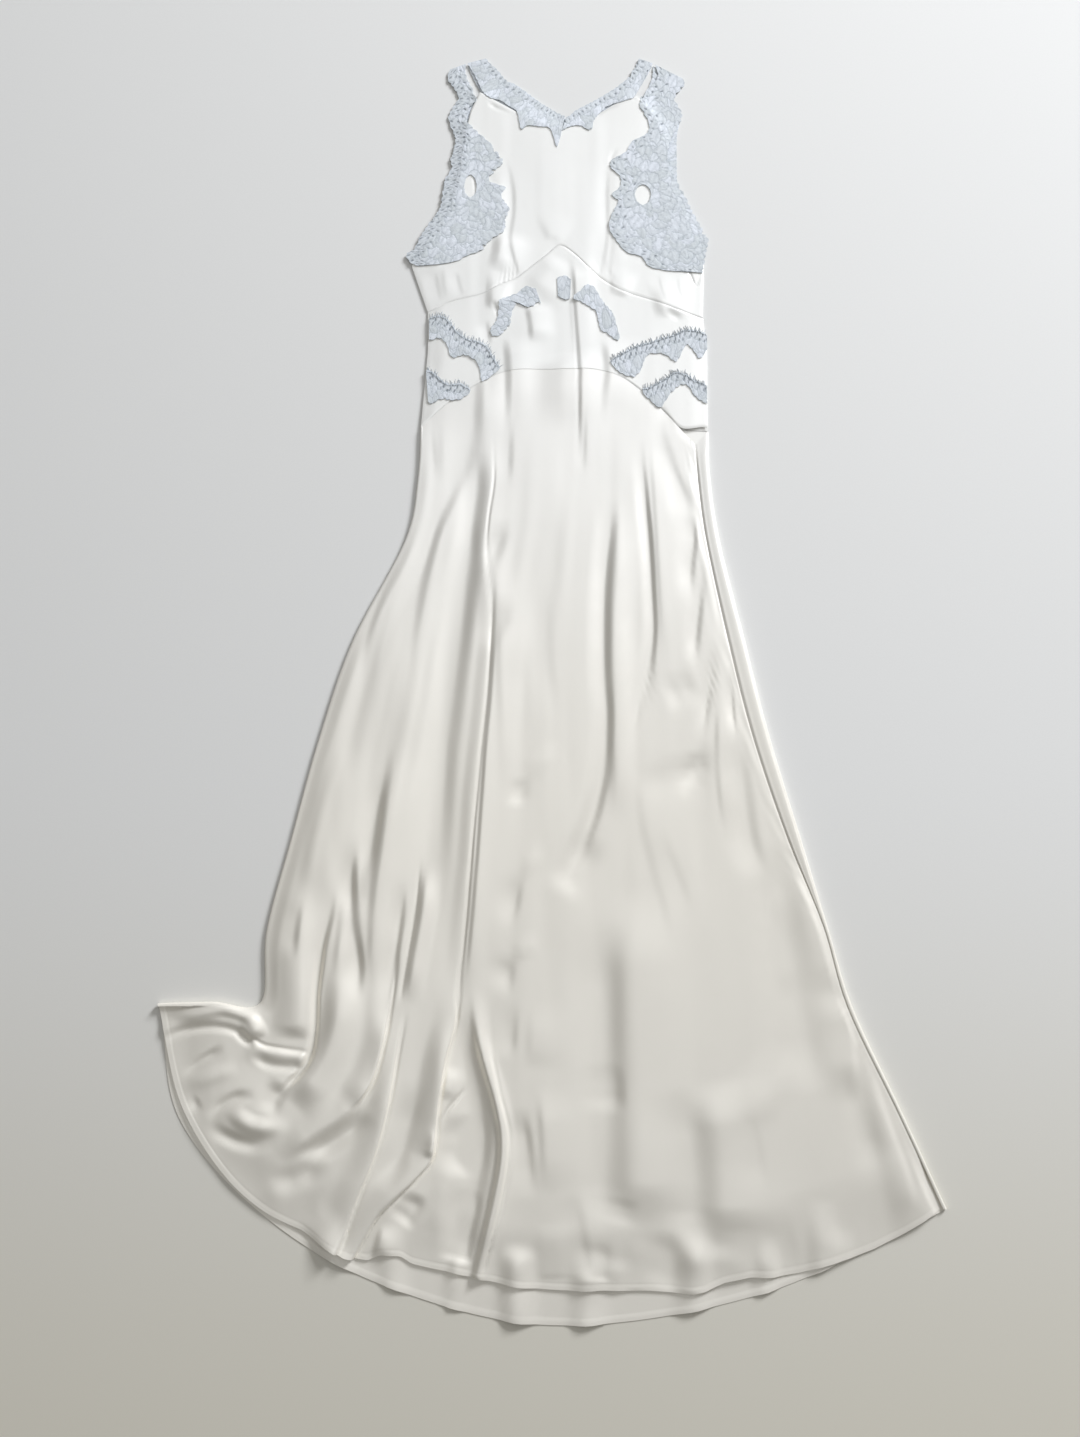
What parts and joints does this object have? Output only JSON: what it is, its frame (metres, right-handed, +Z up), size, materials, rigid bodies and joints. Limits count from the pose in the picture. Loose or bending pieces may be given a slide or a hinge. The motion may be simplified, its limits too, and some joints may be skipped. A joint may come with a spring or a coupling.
{
  "type": "sleeveless lace dress",
  "caption": "Floor-length sleeveless bias-cut satin gown with V neck, lace straps, lace bust motifs and waist bands, laid flat front up.",
  "frame": {"origin": "centre of the bounding box on the surface the dress lies on", "axes": "+X to the right of the picture, +Y along the dress toward the neckline, +Z up off the surface, front of the dress facing +Z"},
  "size_m": [0.887, 1.4956, 0.019],
  "materials": {
    "satin": "ivory silk satin, soft sheen",
    "satin_light": "paler ivory satin, soft sheen",
    "lace": "matt corded lace, pale blue-grey"
  },
  "bodies": {
    "root": {"back_bodice": "satin", "back_skirt": "satin", "front_skirt": "satin", "front_bust": "satin_light", "front_midriff": "satin_light", "lace_neck_left": "lace", "lace_neck_right": "lace", "lace_arm_left": "lace", "lace_arm_right": "lace", "lace_midriff_left": "lace", "lace_midriff_centre": "lace", "lace_midriff_right": "lace", "lace_waist_left_upper": "lace", "lace_waist_left_lower": "lace", "lace_waist_right_upper": "lace", "lace_waist_right_lower": "lace", "lace_back_left": "lace", "lace_back_right": "lace", "lace_back_neck": "lace"}
  },
  "joints": []
}
